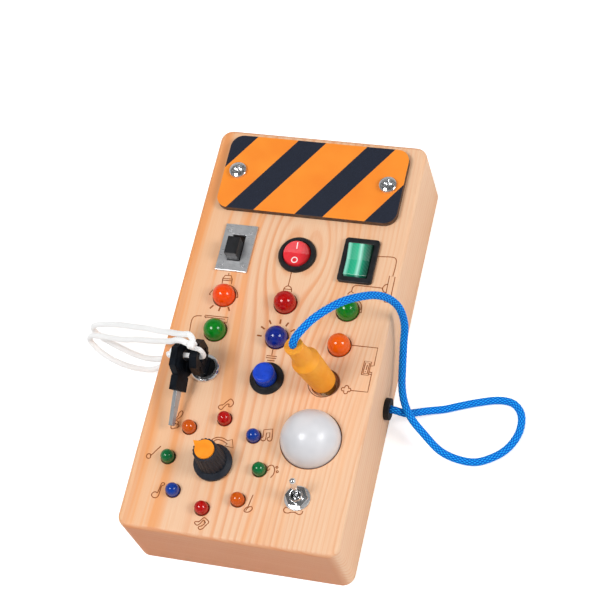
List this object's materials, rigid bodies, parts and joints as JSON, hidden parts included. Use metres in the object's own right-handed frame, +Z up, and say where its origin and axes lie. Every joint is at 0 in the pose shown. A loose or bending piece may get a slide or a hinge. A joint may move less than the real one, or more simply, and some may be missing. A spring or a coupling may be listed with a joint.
{
  "type": "wooden busy board",
  "caption": "Wooden busy board for toddlers: a hollow wood block with switches, lamps, a knob, a key lock, a push button and a plug on a cord.",
  "frame": {"origin": "centre of the underside of the wooden block, on the surface that it rests on", "axes": "+X across the block to the right, +Y along the block towards the striped battery cover, +Z up out of the switch face"},
  "size_m": [0.2122, 0.2, 0.0853],
  "materials": {
    "black_enamel": "enamelled",
    "black_plastic": "moulded",
    "black_rubber": "moulded",
    "blue_lens": "tinted epoxy",
    "blue_plastic": "moulded",
    "blue_pvc": "extruded",
    "brass": "turned",
    "bright_steel": "polished",
    "cell_jacket": "plain shrink jacket",
    "chrome": "plated",
    "circuit_board": "solder mask",
    "dome_lens": "frosted, milky",
    "green_led_lens": "tinted epoxy",
    "green_lens": "clear tinted, moulded",
    "key_plastic": "moulded",
    "knob_plastic": "moulded",
    "lamp_board": "solder mask",
    "natural_nylon": "moulded",
    "nickel": "nickel plated",
    "orange_lens": "tinted epoxy",
    "orange_plastic": "moulded",
    "painted_plywood": "printed in orange and dark stripes, charred edge",
    "phenolic": "moulded",
    "pine": "sanded and oiled",
    "plywood": "sanded",
    "red_lens": "tinted epoxy",
    "red_phenolic": "moulded",
    "red_plastic": "moulded",
    "shaft_aluminium": "turned",
    "spring_steel": "drawn wire",
    "tinned_wire": "tinned",
    "white_cord": "round braided",
    "wire_insulation": "extruded",
    "zinc_steel": "zinc plated"
  },
  "bodies": {
    "root": {"case_body": "pine", "back_panel": "plywood", "back_screws": "zinc_steel", "battery_cover": "painted_plywood", "cover_screws": "bright_steel", "battery_tray": "black_plastic", "battery_cells": "cell_jacket", "battery_contacts": "zinc_steel", "slide_frame": "zinc_steel", "slide_housing": "phenolic", "round_rocker_housing": "black_plastic", "square_rocker_housing": "black_plastic", "lock_barrel": "chrome", "lock_nut": "chrome", "lanyard_strand_a": "white_cord", "lanyard_strand_b": "white_cord", "lanyard_tails": "white_cord", "push_barrel": "black_plastic", "push_nut": "zinc_steel", "push_spring": "spring_steel", "pot_body": "zinc_steel", "pot_nut": "chrome", "toggle_case": "red_phenolic", "toggle_bushing": "chrome", "toggle_washer": "zinc_steel", "toggle_nut": "chrome", "lamps_orange": "orange_lens", "lamps_green": "green_led_lens", "lamp_red": "red_lens", "lamp_blue": "blue_lens", "ring_lamps_red": "red_lens", "ring_lamps_orange": "orange_lens", "ring_lamps_green": "green_led_lens", "ring_lamps_blue": "blue_lens", "lamp_legs": "tinned_wire", "dome_cap": "dome_lens", "dome_board": "lamp_board", "jack_socket": "natural_nylon", "cord_grommets": "black_rubber", "patch_cord": "blue_pvc", "patch_cord_tail": "blue_pvc", "control_board": "circuit_board", "wiring": "wire_insulation"},
    "slide_lever": {"slide_lever": "black_plastic"},
    "round_rocker": {"round_rocker_button": "red_plastic"},
    "square_rocker": {"square_rocker_button": "green_lens"},
    "lock_core": {"lock_core": "black_enamel"},
    "key_lift": {"lanyard_knot": "white_cord"},
    "keys": {"key_blade": "nickel", "key_head": "key_plastic", "spare_blade": "nickel", "spare_head": "key_plastic", "lanyard_bight": "white_cord"},
    "push_cap": {"push_cap": "blue_plastic"},
    "knob": {"pot_shaft": "shaft_aluminium", "knob_grip": "knob_plastic", "knob_pointer": "orange_plastic"},
    "toggle_bat": {"toggle_bat": "chrome"},
    "plug": {"plug_body": "orange_plastic", "plug_pin": "brass"}
  },
  "joints": [
    {"name": "slide_lever_travel", "type": "slide", "parent": "root", "child": "slide_lever", "axis": [0, 1, 0], "range_m": [0, 0.0042]},
    {"name": "round_rocker_tilt", "type": "hinge", "parent": "root", "child": "round_rocker", "pos_m": [0.001, 0.0382, 0.0385], "axis": [1, 0, 0], "range_deg": [-16, 0]},
    {"name": "square_rocker_tilt", "type": "hinge", "parent": "root", "child": "square_rocker", "pos_m": [0.03, 0.0382, 0.0385], "axis": [1, 0, 0], "range_deg": [-16, 0]},
    {"name": "lock_turn", "type": "hinge", "parent": "root", "child": "lock_core", "pos_m": [-0.028, -0.0225, 0.038], "axis": [0, 0, 1], "range_deg": [-90, 0]},
    {"name": "key_pull", "type": "slide", "parent": "root", "child": "key_lift", "axis": [0, 0, 1], "range_m": [0, 0.022], "deforming": ["lanyard_strand_a", "lanyard_strand_b"]},
    {"name": "key_turn", "type": "hinge", "parent": "key_lift", "child": "keys", "pos_m": [-0.028, -0.0225, 0.038], "axis": [0, 0, 1], "range_deg": [-90, 0]},
    {"name": "push_cap_travel", "type": "slide", "parent": "root", "child": "push_cap", "axis": [0, 0, -1], "range_m": [0, 0.003], "stiffness_N_per_m": 300, "springref_m": -0.001, "deforming": ["push_spring"]},
    {"name": "knob_turn", "type": "hinge", "parent": "root", "child": "knob", "pos_m": [-0.01325, -0.066, 0.038], "axis": [0, 0, 1], "range_deg": [-211, 89]},
    {"name": "toggle_flip", "type": "hinge", "parent": "root", "child": "toggle_bat", "pos_m": [0.0272, -0.0762, 0.0385], "axis": [1, 0, 0], "range_deg": [0, 24]},
    {"name": "plug_pull", "type": "slide", "parent": "root", "child": "plug", "axis": [-0.1736, 0, 0.9848], "range_m": [0, 0.02], "deforming": ["patch_cord"]}
  ],
  "couplings": [
    {"joint": "lock_turn", "follows": "key_turn", "ratio": 1}
  ]
}
